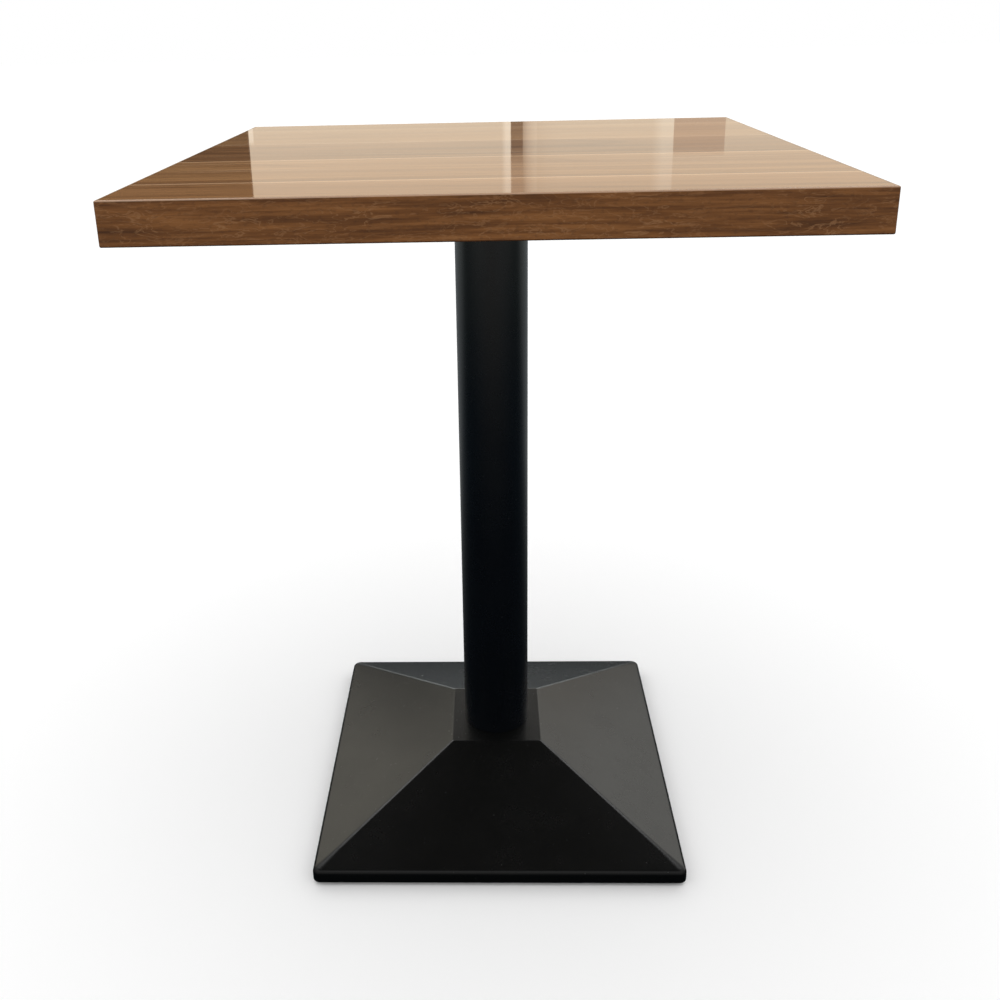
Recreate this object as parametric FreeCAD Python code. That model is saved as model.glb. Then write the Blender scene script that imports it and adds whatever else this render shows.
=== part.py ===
import FreeCAD, Part

import math
import os

# A square bistro table on one pedestal. A thick wood-look top stands on a round
# steel column, the column stands on a hollow cast-iron pyramid, and one long tie
# rod pulls the top spider, the column and the pyramid together. Four glides
# under the pyramid screw in and out to level the table.
#
# Frame: millimetres, +Z up, origin on the floor under the column's axis. The
# front of the table faces -Y.

Vector = FreeCAD.Vector
UP = Vector(0, 0, 1)

# ---- driving dimensions -------------------------------------------------------

TABLE_HEIGHT = 750.0

# top: two boards, a laminate on each face and a band round the edge
TOP_SIDE = 600.0
TOP_THICK = 36.0
LAMINATE_THICK = 0.8
BAND_THICK = 2.0
BAND_ROUND = 1.5

# column
COLUMN_OD = 76.0
COLUMN_WALL = 1.5
COLUMN_END_CHAMFER = 0.4

# pyramid base, an iron casting
BASE_SIDE = 400.0
BASE_GAP = 4.0
RIM_TOP_Z = 18.0
RIM_CORNER_R = 8.0
RIM_EDGE_R = 6.0
RIM_FOOT_R = 2.0
HIP_RUNOUT_SIDE = 352.0
HIP_RUNOUT_R = 4.0
PLATEAU_SIDE = 104.0
PLATEAU_Z = 75.0
PLATEAU_CORNER_R = 3.0
PLATEAU_EDGE_R = 1.6
BASE_WALL = 6.0
HUB_R = 20.0
HUB_BOTTOM_Z = 46.0
BASE_RIB_THICK = 6.0
SPIGOT_HEIGHT = 5.0
SPIGOT_GAP = 0.4
SPIGOT_WALL = 8.0

# top spider, an iron casting with four channel arms
SPIDER_THICK = 14.0
SPIDER_HUB_R = 44.0
SPIDER_BOSS_DEPTH = 12.0
ARM_REACH = 170.0
ARM_WIDTH = 30.0
ARM_FLOOR = 6.0
ARM_WALL = 4.0
SCREW_RADII = (90.0, 152.0)

# M10 tie rod and its hardware
ROD_R = 5.0
ROD_HOLE_R = 5.5
ROD_NUT_ACROSS = 16.0
ROD_NUT_HEIGHT = 8.4
ROD_SPRING_THICK = 2.2
ROD_SPRING_OR = 9.0
ROD_END_PAST_NUT = 1.9
TOP_WASHER_R = 10.0
TOP_WASHER_THICK = 2.0
SOCKET_R = 14.0
SOCKET_FLOOR = 10.0
FOOT_WASHER_R = 17.0
FOOT_WASHER_THICK = 3.0
THREAD_SLACK = 0.02

# 5 x 20 pan-head chipboard screws
SCREW_R = 2.2
SCREW_LENGTH = 20.0
SCREW_HEAD_R = 4.7
SCREW_HEAD_HEIGHT = 2.8
SCREW_SLACK = 0.05
SCREW_HOLE_R = 2.75
RECESS_DEPTH = 1.6
RECESS_LENGTH = 4.8
RECESS_WIDTH = 1.0

# M8 levelling glides
GLIDE_XY = 155.0
PAD_R = 16.0
PAD_HEIGHT = 6.5
PAD_FLOOR = 2.0
PAD_LIP = 1.3
PAD_ROUND = 1.5
PAD_CHAMFER = 1.0
STUD_R = 3.95
STUD_HOLE_R = 4.0
STUD_TOP_Z = 29.5
STUD_HOLE_TOP_Z = 32.0
STUD_HEAD_R = 7.2
STUD_NECK_R = 4.5
STUD_HEX_ACROSS = 13.0
STUD_HEX_HEIGHT = 3.5
HEX_ABOVE_PAD = 0.5
GLIDE_SLACK = 0.1
GLIDE_BOSS_R = 12.0
GLIDE_BOSS_Z = 13.0

# ---- sizes that follow from them ----------------------------------------------

BOARD_SIDE = TOP_SIDE - 2 * BAND_THICK
BOARD_THICK = TOP_THICK / 2 - LAMINATE_THICK
TOP_BOTTOM_Z = TABLE_HEIGHT - TOP_THICK
BOARD_JOINT_Z = TABLE_HEIGHT - TOP_THICK / 2
SPIDER_BOTTOM_Z = TOP_BOTTOM_Z - SPIDER_THICK
COLUMN_R = COLUMN_OD / 2
COLUMN_IR = COLUMN_R - COLUMN_WALL
SLOPE = (PLATEAU_Z - RIM_TOP_Z) / ((BASE_SIDE - PLATEAU_SIDE) / 2)
WALL_DROP = BASE_WALL * math.hypot(1, SLOPE)
SPIDER_BOSS_Z = SPIDER_BOTTOM_Z - SPIDER_BOSS_DEPTH
SOCKET_Z = SPIDER_BOSS_Z + SOCKET_FLOOR
ARM_FLOOR_Z = TOP_BOTTOM_Z - ARM_FLOOR
SCREW_SPOTS = [
    Vector(r * math.cos(a), r * math.sin(a), 0)
    for a in [math.radians(45 + 90 * k) for k in range(4)]
    for r in SCREW_RADII
]
CORNERS = {
    "front_left": Vector(-GLIDE_XY, -GLIDE_XY, 0),
    "front_right": Vector(GLIDE_XY, -GLIDE_XY, 0),
    "back_left": Vector(-GLIDE_XY, GLIDE_XY, 0),
    "back_right": Vector(GLIDE_XY, GLIDE_XY, 0),
}


# ---- shape helpers ------------------------------------------------------------


def square_block(side, z_low, z_high):
    """A square block centred on the axis."""
    half = side / 2
    return Part.makeBox(side, side, z_high - z_low, Vector(-half, -half, z_low))


def rod(radius, z_low, z_high, at=Vector(0, 0, 0)):
    """An upright cylinder standing over a point of the floor plan."""
    return Part.makeCylinder(radius, z_high - z_low, Vector(at.x, at.y, z_low), UP)


def hexagon(across, z_low, z_high):
    """A hexagonal prism whose corners are cut back by a cone at both ends, as on a nut."""
    corner = across / math.sqrt(3)
    points = [
        Vector(corner * math.cos(math.radians(60 * k)), corner * math.sin(math.radians(60 * k)), z_low)
        for k in range(7)
    ]
    prism = Part.Face(Part.makePolygon(points)).extrude(Vector(0, 0, z_high - z_low))
    cut_back = (corner - across / 2) * math.tan(math.radians(30))
    outline = [
        (0, z_low),
        (across / 2, z_low),
        (corner, z_low + cut_back),
        (corner, z_high - cut_back),
        (across / 2, z_high),
        (0, z_high),
    ]
    return prism.common(turned(outline))


def turned(outline):
    """A solid of revolution about the Z axis from (radius, height) points."""
    points = [Vector(r, 0, z) for r, z in outline]
    face = Part.Face(Part.makePolygon(points + points[:1]))
    return face.revolve(Vector(0, 0, 0), UP, 360)


def rounded_square(side, corner_r, z):
    """A closed wire: a square with round corners, centred on the axis."""
    half, inner = side / 2, side / 2 - corner_r
    edges = []
    for k in range(4):
        turn = FreeCAD.Rotation(UP, 90 * k)
        start = turn.multVec(Vector(half, -inner, z))
        end = turn.multVec(Vector(half, inner, z))
        middle = inner + corner_r * math.sqrt(0.5)
        on_arc = turn.multVec(Vector(middle, middle, z))
        arc_end = turn.multVec(Vector(inner, half, z))
        edges.append(Part.makeLine(start, end))
        edges.append(Part.Arc(end, on_arc, arc_end).toShape())
    return Part.Wire(edges)


def loft(*sections):
    """A solid with straight sides between rounded squares given as (side, corner radius, z)."""
    return Part.makeLoft([rounded_square(*s) for s in sections], True, True)


def edges_at(shape, z):
    """The edges of a shape that lie in one level plane."""
    return [
        e
        for e in shape.Edges
        if abs(e.BoundBox.ZMin - z) < 1e-3 and abs(e.BoundBox.ZMax - z) < 1e-3
    ]


def placed(shape, at):
    """A copy of a shape moved to a point of the floor plan."""
    moved = shape.copy()
    moved.translate(at)
    return moved


# ---- the top ------------------------------------------------------------------


def pilot_holes():
    """The holes that the spider's screws cut in the underside of the top."""
    top = ARM_FLOOR_Z + SCREW_LENGTH + 0.5
    return [rod(SCREW_R + SCREW_SLACK, TOP_BOTTOM_Z, top, at) for at in SCREW_SPOTS]


def upper_board():
    return square_block(BOARD_SIDE, BOARD_JOINT_Z, BOARD_JOINT_Z + BOARD_THICK)


def lower_board():
    return square_block(BOARD_SIDE, BOARD_JOINT_Z - BOARD_THICK, BOARD_JOINT_Z).cut(pilot_holes())


def top_laminate():
    return square_block(BOARD_SIDE, TABLE_HEIGHT - LAMINATE_THICK, TABLE_HEIGHT)


def under_laminate():
    sheet = square_block(BOARD_SIDE, TOP_BOTTOM_Z, TOP_BOTTOM_Z + LAMINATE_THICK)
    return sheet.cut(pilot_holes())


def edge_bands():
    """Four strips round the boards. The front and back ones cover the ends of the side ones."""
    half, board_half = TOP_SIDE / 2, BOARD_SIDE / 2
    block = square_block(TOP_SIDE, TOP_BOTTOM_Z, TABLE_HEIGHT)
    outer = [e for e in block.Edges if e.Length > 1]
    block = block.makeFillet(BAND_ROUND, outer)
    ring = block.cut(square_block(BOARD_SIDE, TOP_BOTTOM_Z - 1, TABLE_HEIGHT + 1))
    height = TOP_THICK + 2
    z = TOP_BOTTOM_Z - 1
    front_cutter = Part.makeBox(TOP_SIDE + 2, BAND_THICK, height, Vector(-half - 1, -half, z))
    side_cutter = Part.makeBox(BAND_THICK, BOARD_SIDE, height, Vector(-half, -board_half, z))
    front = ring.common(front_cutter)
    left = ring.common(side_cutter)
    half_turn = (Vector(0, 0, 0), UP, 180)
    back, right = front.copy(), left.copy()
    back.rotate(*half_turn)
    right.rotate(*half_turn)
    return {
        "edge_band_front": front,
        "edge_band_back": back,
        "edge_band_left": left,
        "edge_band_right": right,
    }


# ---- the pedestal -------------------------------------------------------------


def base_outer():
    """The pyramid's outside: an upright rim, four flat slopes and a square plateau."""
    rim = loft(
        (BASE_SIDE, RIM_CORNER_R, BASE_GAP),
        (BASE_SIDE, RIM_CORNER_R, RIM_TOP_Z),
    )
    runout_z = RIM_TOP_Z + SLOPE * (BASE_SIDE - HIP_RUNOUT_SIDE) / 2
    hip_end = loft(
        (BASE_SIDE, RIM_CORNER_R, RIM_TOP_Z),
        (HIP_RUNOUT_SIDE, HIP_RUNOUT_R, runout_z),
    )
    slopes = loft(
        (HIP_RUNOUT_SIDE, HIP_RUNOUT_R, runout_z),
        (PLATEAU_SIDE, PLATEAU_CORNER_R, PLATEAU_Z),
    )
    body = rim.fuse([hip_end, slopes])
    body = body.makeFillet(RIM_EDGE_R, edges_at(body, RIM_TOP_Z))
    body = body.makeFillet(PLATEAU_EDGE_R, edges_at(body, PLATEAU_Z))
    return body.makeFillet(RIM_FOOT_R, edges_at(body, BASE_GAP))


def base_cavity():
    """The hollow under the pyramid, one wall's thickness inside it."""
    open_side = BASE_SIDE - 2 * BASE_WALL
    shoulder_z = RIM_TOP_Z + SLOPE * BASE_WALL - WALL_DROP
    roof_z = PLATEAU_Z - BASE_WALL
    roof_side = BASE_SIDE - 2 * (roof_z + WALL_DROP - RIM_TOP_Z) / SLOPE
    corner_r = RIM_CORNER_R - BASE_WALL
    mouth = loft((open_side, corner_r, BASE_GAP - 1), (open_side, corner_r, shoulder_z))
    hollow = loft((open_side, corner_r, shoulder_z), (roof_side, PLATEAU_CORNER_R, roof_z))
    return mouth.fuse(hollow)


def base_inside_parts():
    """The hub, diagonal ribs and glide bosses under the pyramid, before they are cut to its outside."""
    hub = rod(HUB_R, HUB_BOTTOM_Z, PLATEAU_Z)
    parts = [hub]
    reach = GLIDE_XY * math.sqrt(2)
    rib_outline = [
        Vector(0, 0, HUB_BOTTOM_Z + 4),
        Vector(reach / 4, 0, HUB_BOTTOM_Z - 4),
        Vector(reach, 0, GLIDE_BOSS_Z + 3),
        Vector(reach, 0, PLATEAU_Z),
        Vector(0, 0, PLATEAU_Z),
        Vector(0, 0, HUB_BOTTOM_Z + 4),
    ]
    rib = Part.Face(Part.makePolygon(rib_outline)).extrude(Vector(0, BASE_RIB_THICK, 0))
    rib.translate(Vector(0, -BASE_RIB_THICK / 2, 0))
    for k in range(4):
        turned_rib = rib.copy()
        turned_rib.rotate(Vector(0, 0, 0), UP, 45 + 90 * k)
        parts.append(turned_rib)
    for at in CORNERS.values():
        parts.append(rod(GLIDE_BOSS_R, GLIDE_BOSS_Z, PLATEAU_Z, at))
    return parts[0].fuse(parts[1:])


def base_casting():
    outer = base_outer()
    body = outer.cut(base_cavity()).fuse(outer.common(base_inside_parts()))
    spigot_r = COLUMN_IR - SPIGOT_GAP
    spigot = rod(spigot_r, PLATEAU_Z - 1, PLATEAU_Z + SPIGOT_HEIGHT)
    spigot = spigot.cut(rod(spigot_r - SPIGOT_WALL, PLATEAU_Z, PLATEAU_Z + SPIGOT_HEIGHT + 1))
    body = body.fuse(spigot)
    holes = [rod(ROD_HOLE_R, 0, PLATEAU_Z + SPIGOT_HEIGHT + 1)]
    for at in CORNERS.values():
        holes.append(rod(STUD_HOLE_R, 0, STUD_HOLE_TOP_Z, at))
    return body.cut(holes).removeSplitter()


def column_tube():
    c, r, bore = COLUMN_END_CHAMFER, COLUMN_R, COLUMN_IR
    low, high = PLATEAU_Z, SPIDER_BOTTOM_Z
    return turned(
        [(bore, low), (r - c, low), (r, low + c), (r, high - c), (r - c, high), (bore, high)]
    )


def arm_blank(width, z_low, z_high, tip):
    """A bar with a round end, from the axis towards +X."""
    bar = Part.makeBox(tip, width, z_high - z_low, Vector(0, -width / 2, z_low))
    return bar.fuse(rod(width / 2, z_low, z_high, Vector(tip, 0, 0)))


def top_spider():
    """Four channel arms from a round hub, with a spigot and a long boss inside the column."""
    tip = ARM_REACH - ARM_WIDTH / 2
    arm = arm_blank(ARM_WIDTH, SPIDER_BOTTOM_Z, TOP_BOTTOM_Z, tip)
    channel = arm_blank(ARM_WIDTH - 2 * ARM_WALL, SPIDER_BOTTOM_Z - 1, ARM_FLOOR_Z, tip)
    arm = arm.cut(channel)
    arms = []
    for k in range(4):
        turned_arm = arm.copy()
        turned_arm.rotate(Vector(0, 0, 0), UP, 45 + 90 * k)
        arms.append(turned_arm)
    hub = rod(SPIDER_HUB_R, SPIDER_BOTTOM_Z, TOP_BOTTOM_Z)
    spigot = rod(COLUMN_IR - SPIGOT_GAP, SPIDER_BOTTOM_Z - SPIGOT_HEIGHT, SPIDER_BOTTOM_Z)
    boss = rod(HUB_R, SPIDER_BOSS_Z, SPIDER_BOTTOM_Z)
    body = hub.fuse(arms + [spigot, boss])
    holes = [
        rod(SOCKET_R, SOCKET_Z, TOP_BOTTOM_Z + 1),
        rod(ROD_HOLE_R, SPIDER_BOSS_Z - 1, SOCKET_Z + 1),
    ]
    for at in SCREW_SPOTS:
        holes.append(rod(SCREW_HOLE_R, ARM_FLOOR_Z - 1, TOP_BOTTOM_Z + 1, at))
    return body.cut(holes).removeSplitter()


# ---- the tie rod and its hardware ---------------------------------------------


def flat_washer(outer_r, z_low, thick):
    return rod(outer_r, z_low, z_low + thick).cut(rod(ROD_R + 0.25, z_low - 1, z_low + thick + 1))


def spring_washer(z_low):
    """A split ring, flattened as it is when the nut is tight."""
    inner_r, z_high = ROD_R + 0.1, z_low + ROD_SPRING_THICK
    ring = rod(ROD_SPRING_OR, z_low, z_high).cut(rod(inner_r, z_low - 1, z_high + 1))
    gap = Part.makeBox(ROD_SPRING_OR, 1.2, ROD_SPRING_THICK + 2, Vector(0, -0.6, z_low - 1))
    gap.rotate(Vector(inner_r, 0, z_low + ROD_SPRING_THICK / 2), Vector(1, 0, 0), 25)
    return ring.cut(gap)


def rod_nut(z_low):
    body = hexagon(ROD_NUT_ACROSS, z_low, z_low + ROD_NUT_HEIGHT)
    return body.cut(rod(ROD_R + THREAD_SLACK, z_low - 1, z_low + ROD_NUT_HEIGHT + 1))


def tie_rod_set():
    """The rod, and a nut, spring washer and flat washer at each of its ends."""
    top_spring_z = SOCKET_Z + TOP_WASHER_THICK
    top_nut_z = top_spring_z + ROD_SPRING_THICK
    rod_top = top_nut_z + ROD_NUT_HEIGHT + ROD_END_PAST_NUT
    foot_washer_z = HUB_BOTTOM_Z - FOOT_WASHER_THICK
    foot_spring_z = foot_washer_z - ROD_SPRING_THICK
    foot_nut_z = foot_spring_z - ROD_NUT_HEIGHT
    rod_foot = foot_nut_z - 2 * ROD_END_PAST_NUT
    bar = rod(ROD_R, rod_foot, rod_top)
    ends = edges_at(bar, rod_foot) + edges_at(bar, rod_top)
    return {
        "tie_rod": bar.makeChamfer(0.8, ends),
        "rod_top_washer": flat_washer(TOP_WASHER_R, SOCKET_Z, TOP_WASHER_THICK),
        "rod_top_spring_washer": spring_washer(top_spring_z),
        "rod_top_nut": rod_nut(top_nut_z),
        "rod_bottom_washer": flat_washer(FOOT_WASHER_R, foot_washer_z, FOOT_WASHER_THICK),
        "rod_bottom_spring_washer": spring_washer(foot_spring_z),
        "rod_bottom_nut": rod_nut(foot_nut_z),
    }


# ---- screws and glides --------------------------------------------------------


def spider_screw():
    """One pan-head screw on the axis, driven upwards, with a cross recess under its head."""
    head_z = ARM_FLOOR_Z - SCREW_HEAD_HEIGHT
    tip_z = ARM_FLOOR_Z + SCREW_LENGTH
    body = turned(
        [
            (0, head_z),
            (SCREW_HEAD_R * 0.6, head_z),
            (SCREW_HEAD_R * 0.9, head_z + SCREW_HEAD_HEIGHT * 0.3),
            (SCREW_HEAD_R, head_z + SCREW_HEAD_HEIGHT * 0.65),
            (SCREW_HEAD_R, ARM_FLOOR_Z),
            (SCREW_R, ARM_FLOOR_Z),
            (SCREW_R, tip_z - 2 * SCREW_R),
            (0, tip_z),
        ]
    )
    length, width = RECESS_LENGTH / 2, RECESS_WIDTH / 2
    z, depth = head_z - 1, RECESS_DEPTH + 1
    slots = [
        Part.makeBox(2 * length, 2 * width, depth, Vector(-length, -width, z)),
        Part.makeBox(2 * width, 2 * length, depth, Vector(-width, -length, z)),
    ]
    return body.cut(slots)


def spider_screws():
    screw = spider_screw()
    return Part.makeCompound([placed(screw, at) for at in SCREW_SPOTS])


def glide_pad():
    """A nylon foot that snaps over the stud's head, on the axis."""
    r, h = PAD_R, PAD_HEIGHT
    pocket_r, pocket_top = STUD_HEAD_R + GLIDE_SLACK, h - PAD_LIP
    body = turned([(0, 0), (r, 0), (r, h - PAD_CHAMFER), (r - PAD_CHAMFER, h), (0, h)])
    body = body.makeFillet(PAD_ROUND, edges_at(body, 0))
    mouth = rod(STUD_NECK_R + GLIDE_SLACK, pocket_top - 1, h + 1)
    return body.cut([rod(pocket_r, PAD_FLOOR, pocket_top), mouth])


def glide_stud():
    """The stud that turns in the pad: a flat head, a hexagon for a wrench and the M8 thread."""
    head_z = PAD_FLOOR + GLIDE_SLACK / 2
    head_top = PAD_HEIGHT - PAD_LIP - GLIDE_SLACK
    hex_z = PAD_HEIGHT + HEX_ABOVE_PAD
    hex_top = hex_z + STUD_HEX_HEIGHT
    core = turned(
        [
            (0, head_z),
            (STUD_HEAD_R, head_z),
            (STUD_HEAD_R, head_top),
            (STUD_NECK_R, head_top),
            (STUD_NECK_R, hex_top),
            (STUD_R, hex_top),
            (STUD_R, STUD_TOP_Z - 1),
            (STUD_R - 1, STUD_TOP_Z),
            (0, STUD_TOP_Z),
        ]
    )
    return core.fuse(hexagon(STUD_HEX_ACROSS, hex_z, hex_top))


# ---- export -------------------------------------------------------------------


def all_nodes():
    nodes = {
        "upper_board": upper_board(),
        "lower_board": lower_board(),
        "top_laminate": top_laminate(),
        "under_laminate": under_laminate(),
        "base_casting": base_casting(),
        "column_tube": column_tube(),
        "top_spider": top_spider(),
        "spider_screws": spider_screws(),
    }
    nodes.update(edge_bands())
    nodes.update(tie_rod_set())
    pad, stud = glide_pad(), glide_stud()
    for corner, at in CORNERS.items():
        nodes["glide_pad_" + corner] = placed(pad, at)
        nodes["glide_stud_" + corner] = placed(stud, at)
    return nodes


os.makedirs("parts", exist_ok=True)
for name, shape in all_nodes().items():
    shape.exportStep("parts/" + name + ".step")
    print(name, "valid" if shape.isValid() else "NOT VALID", len(shape.Solids), round(shape.Volume))
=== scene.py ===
import math

import bmesh
import bpy
from mathutils import Matrix, Vector, noise


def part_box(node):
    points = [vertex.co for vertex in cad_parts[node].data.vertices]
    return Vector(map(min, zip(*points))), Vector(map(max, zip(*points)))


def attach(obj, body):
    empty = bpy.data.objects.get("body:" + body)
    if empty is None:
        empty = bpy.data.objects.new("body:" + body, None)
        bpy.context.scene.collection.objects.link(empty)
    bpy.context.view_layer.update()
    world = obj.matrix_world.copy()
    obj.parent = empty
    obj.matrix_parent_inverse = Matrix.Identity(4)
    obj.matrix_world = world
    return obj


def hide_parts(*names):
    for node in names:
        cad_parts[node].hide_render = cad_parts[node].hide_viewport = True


# A square bistro table: a walnut-look laminated top with banded edges, a round
# black column, a black cast pyramid base and its hardware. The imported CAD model
# is the frame; this script builds the finished surfaces round it.

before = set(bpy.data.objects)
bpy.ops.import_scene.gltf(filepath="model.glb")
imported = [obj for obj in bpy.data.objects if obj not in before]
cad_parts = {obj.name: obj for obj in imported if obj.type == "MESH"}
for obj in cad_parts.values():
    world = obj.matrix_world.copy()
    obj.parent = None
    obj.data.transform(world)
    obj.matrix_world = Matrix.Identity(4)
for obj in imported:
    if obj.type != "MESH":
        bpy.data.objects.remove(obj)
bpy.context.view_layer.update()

MM = 0.001

# ---- places taken from the frame ----

TOP_LOW, TOP_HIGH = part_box("edge_band_front")
TOP_HALF = TOP_HIGH.x
TOP_Z = TOP_HIGH.z
UNDER_Z = TOP_LOW.z
BOARD_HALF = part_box("top_laminate")[1].x
LAMINATE_LOW_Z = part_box("top_laminate")[0].z
BACKER_HIGH_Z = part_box("under_laminate")[1].z
COLUMN_LOW, COLUMN_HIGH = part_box("column_tube")
BASE_LOW, BASE_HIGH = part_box("base_casting")
SPIDER_LOW, SPIDER_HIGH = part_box("top_spider")
CORNERS = ("front_left", "front_right", "back_left", "back_right")

# ---- sizes that the boxes don't hold, in millimetres; a thread is its depth and pitch ----

BAND_ROUND = 1.5
SHEET_EDGE = 0.12
COLUMN_WALL = 1.5
RIM_TOP = 18.0
RIM_CORNER = 8.0
RIM_EDGE = 6.0
FOOT_EDGE = 2.0
HIP_RUNOUT_HALF = 176.0
HIP_CORNER_LOW = 4.0
HIP_CORNER_HIGH = 3.0
PLATEAU_HALF = 52.0
PLATEAU_EDGE = 6.4
BASE_WALL = 6.0
HUB_RADIUS = 20.0
HUB_LOW = 46.0
ROD_HOLE = 5.5
SPIGOT_WALL = 8.0
SPIGOT_HEIGHT = 5.0
SPIGOT_GAP = 0.4
STUD_HOLE = 4.0
STUD_HOLE_TOP = 32.0
GLIDE_AT = 155.0
GLIDE_BOSS = 12.0
GLIDE_BOSS_LOW = 13.0
BOSS_LEAN = 0.2
BOSS_SINK = 1.2
RIB_HALF_THICK = 3.0
SPIDER_HUB = 44.0
ARM_REACH = 170.0
ARM_ROOT = 30.0
ARM_SINK = 0.05
ARM_HALF = 15.0
ARM_WALL = 4.0
ARM_FLOOR = 6.0
SOCKET_RADIUS = 14.0
SOCKET_FLOOR = 10.0
SCREW_RADII = (90.0, 152.0)
SCREW_HOLE = 2.75
SCREW_LENGTH = 20.0
SCREW_HEAD_HEIGHT = 2.8
SCREW_HEAD = 4.7
SCREW_SHANK = 2.2
SCREW_THREAD = (0.75, 2.2)
RECESS = (4.8, 1.0, 1.6)
ROD_RADIUS = 5.0
ROD_THREAD = (0.92, 1.5)
ROD_FOOT_THREAD_END = 70.0
ROD_HEAD_THREAD_START = 688.0
ROD_CHAMFER = 0.8
NUT_ACROSS = 16.0
WASHER_EDGE = 0.3
SPRING_RADIUS = 9.0
SPRING_HALF_GAP = 0.7
SPRING_SLANT = math.radians(25)
PAD_FLOOR = 2.0
PAD_LIP = 1.3
PAD_GROOVE = 0.35
STUD_HEAD = 7.2
STUD_HEAD_TOP = 5.1
STUD_NECK = 4.5
STUD_RADIUS = 3.95
STUD_THREAD = (0.72, 1.25)
STUD_HEX_ACROSS = 13.0
STUD_HEX = (7.0, 10.5)

BAND_STEPS = 8
BAND_LENGTHS = 40
CORNER_STEPS = 12
SIDE_STEPS = 24
RING_POINTS = 4 * (CORNER_STEPS + SIDE_STEPS)


# ---- mesh helpers ----


def new_object(name, points, faces):
    """A mesh object at the origin, from points in metres, with its faces turned outwards."""
    mesh = bpy.data.meshes.new(name)
    mesh.from_pydata([tuple(p) for p in points], [], faces)
    work = bmesh.new()
    work.from_mesh(mesh)
    bmesh.ops.recalc_face_normals(work, faces=work.faces)
    work.to_mesh(mesh)
    work.free()
    mesh.update()
    made = bpy.data.objects.new(name, mesh)
    bpy.context.scene.collection.objects.link(made)
    return made


def skin(rings, closed=False, first_cap=False, last_cap=False):
    """Points and quads of a skin over rings that hold the same number of points."""
    count = len(rings[0])
    points = [p for ring in rings for p in ring]
    faces = []
    pairs = len(rings) if closed else len(rings) - 1
    for k in range(pairs):
        low, high = k * count, (k + 1) % len(rings) * count
        for i in range(count):
            j = (i + 1) % count
            faces.append((low + i, low + j, high + j, high + i))
    if first_cap:
        faces.append(tuple(reversed(range(count))))
    if last_cap:
        start = (len(rings) - 1) * count
        faces.append(tuple(range(start, start + count)))
    return points, faces


def join_shells(shells):
    """One list of points and one of faces from several."""
    points, faces = [], []
    for more_points, more_faces in shells:
        start = len(points)
        points += more_points
        faces += [tuple(i + start for i in face) for face in more_faces]
    return points, faces


def circle(radius, z, count=96, start=0.0):
    """A ring of points; radius and z are millimetres, and radius may be a function of the angle."""
    ring = []
    for i in range(count):
        angle = start + 2 * math.pi * i / count
        r = radius(angle) if callable(radius) else radius
        ring.append(Vector((r * math.cos(angle), r * math.sin(angle), z)) * MM)
    return ring


def square_ring(half, corner, z):
    """A ring round a square with round corners, or a circle once the corners meet."""
    if corner >= half:
        start = math.radians(-45) + math.pi * CORNER_STEPS / RING_POINTS
        return circle(half, z, RING_POINTS, start)
    ring = []
    inner = half - corner
    for side in range(4):
        turn = Matrix.Rotation(math.radians(90 * side), 3, "Z")
        for i in range(SIDE_STEPS):
            along = -inner + 2 * inner * i / SIDE_STEPS
            ring.append(turn @ Vector((half, along, z)) * MM)
        for i in range(CORNER_STEPS):
            angle = math.radians(90) * i / CORNER_STEPS
            x, y = inner + corner * math.cos(angle), inner + corner * math.sin(angle)
            ring.append(turn @ Vector((x, y, z)) * MM)
    return ring


def rounded_outline(corners, steps=6):
    """Points along an open outline of (across, height, radius) corners, with its corners rounded."""
    outline = []
    for k, (x, z, radius) in enumerate(corners):
        here = Vector((x, z))
        if radius == 0 or k in (0, len(corners) - 1):
            outline.append((x, z))
            continue
        back = (Vector(corners[k - 1][:2]) - here).normalized()
        ahead = (Vector(corners[k + 1][:2]) - here).normalized()
        half_angle = back.angle(ahead) / 2
        reach = radius / math.tan(half_angle)
        centre = here + (back + ahead).normalized() * radius / math.sin(half_angle)
        first = (here + back * reach - centre).normalized()
        last = (here + ahead * reach - centre).normalized()
        for i in range(steps + 1):
            outline.append(tuple(centre + first.slerp(last, i / steps) * radius))
    return outline


def lathe(outline, closed=False, count=96):
    """A skin turned about the Z axis from (radius, height) points, as a loop or with flat ends."""
    return skin([circle(r, z, count) for r, z in outline], closed, not closed, not closed)


def rectangle(half_x, half_y, z):
    """The four corners of a rectangle round the Z axis."""
    return [Vector((a * half_x, b * half_y, z)) for a, b in ((-1, -1), (1, -1), (1, 1), (-1, 1))]


def moved(shell, x, y):
    """A copy of a shell moved sideways by millimetres."""
    points, faces = shell
    return [p + Vector((x, y, 0)) * MM for p in points], faces


def turned(shell, degrees):
    """A copy of a shell turned about the Z axis."""
    turn = Matrix.Rotation(math.radians(degrees), 3, "Z")
    return [turn @ p for p in shell[0]], shell[1]


def combine(body, shell, operation):
    """Applies a boolean between an object and a shell to the object."""
    tool = new_object("tool", *shell)
    modifier = body.modifiers.new("combine", "BOOLEAN")
    modifier.operation = operation
    modifier.solver = "EXACT"
    modifier.object = tool
    graph = bpy.context.evaluated_depsgraph_get()
    mesh = bpy.data.meshes.new_from_object(body.evaluated_get(graph))
    body.modifiers.clear()
    body.data = mesh
    bpy.data.objects.remove(tool)


def finish_piece(piece, body, material, node, smooth):
    """Shades a piece, gives it its material and puts it on its body in place of its CAD node."""
    piece.data.polygons.foreach_set("use_smooth", [True] * len(piece.data.polygons))
    piece.data.set_sharp_from_angle(angle=math.radians(smooth))
    piece.modifiers.new("normals", "WEIGHTED_NORMAL").keep_sharp = True
    piece.data.materials.clear()
    piece.data.materials.append(MATERIALS[material])
    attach(piece, body)
    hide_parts(node)


# ---- shader helpers ----


# the numbers of a mix node's sockets, whose names repeat
MIX_FACTOR = 0
MIX_FLOATS = (2, 3)
MIX_COLOURS = (6, 7)
MIX_COLOUR_RESULT = 2


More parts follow.
